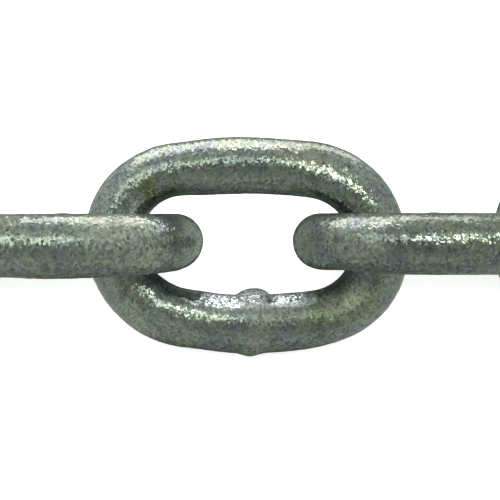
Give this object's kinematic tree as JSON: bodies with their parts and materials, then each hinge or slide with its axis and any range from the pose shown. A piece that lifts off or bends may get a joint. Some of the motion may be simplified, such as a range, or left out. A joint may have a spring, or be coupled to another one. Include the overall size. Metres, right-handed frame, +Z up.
{
  "type": "length of galvanised steel link chain",
  "caption": "Straight cut length of welded steel link chain, hot-dip galvanised, links square to each other; for hanging, lashing, mooring or barriers.",
  "frame": {"origin": "on the floor under the middle of the chain, midway between the two lines of bars that it rests on", "axes": "+X along the chain, +Z up; the middle link faces up and to -Y at 45 degrees"},
  "size_m": [0.3508, 0.0304, 0.0296],
  "materials": {
    "galvanised_steel": "satin"
  },
  "bodies": {
    "link_5": {"link_5": "galvanised_steel"},
    "link_4": {"link_4": "galvanised_steel"},
    "link_3": {"link_3": "galvanised_steel"},
    "link_2": {"link_2": "galvanised_steel"},
    "link_1": {"link_1": "galvanised_steel"},
    "link_6": {"link_6": "galvanised_steel"},
    "link_7": {"link_7": "galvanised_steel"},
    "link_8": {"link_8": "galvanised_steel"},
    "link_9": {"link_9": "galvanised_steel"}
  },
  "joints": [
    {"name": "link_6_swing", "type": "hinge", "parent": "link_5", "child": "link_6", "pos_m": [0.02357, -0.00038, 0.01481], "axis": [0, 0.7071, 0.7071], "range_deg": [-110, 110]},
    {"name": "link_7_swing", "type": "hinge", "parent": "link_6", "child": "link_7", "pos_m": [0.06027, 0.00038, 0.01481], "axis": [0, -0.7071, 0.7071], "range_deg": [-110, 110]},
    {"name": "link_8_swing", "type": "hinge", "parent": "link_7", "child": "link_8", "pos_m": [0.09697, -0.00038, 0.01481], "axis": [0, -0.7071, -0.7071], "range_deg": [-110, 110]},
    {"name": "link_9_swing", "type": "hinge", "parent": "link_8", "child": "link_9", "pos_m": [0.13367, 0.00038, 0.01481], "axis": [0, 0.7071, -0.7071], "range_deg": [-110, 110]},
    {"name": "link_4_swing", "type": "hinge", "parent": "link_5", "child": "link_4", "pos_m": [-0.02357, -0.00038, 0.01481], "axis": [0, 0.7071, 0.7071], "range_deg": [-110, 110]},
    {"name": "link_3_swing", "type": "hinge", "parent": "link_4", "child": "link_3", "pos_m": [-0.06027, 0.00038, 0.01481], "axis": [0, -0.7071, 0.7071], "range_deg": [-110, 110]},
    {"name": "link_2_swing", "type": "hinge", "parent": "link_3", "child": "link_2", "pos_m": [-0.09697, -0.00038, 0.01481], "axis": [0, -0.7071, -0.7071], "range_deg": [-110, 110]},
    {"name": "link_1_swing", "type": "hinge", "parent": "link_2", "child": "link_1", "pos_m": [-0.13367, 0.00038, 0.01481], "axis": [0, 0.7071, -0.7071], "range_deg": [-110, 110]}
  ]
}
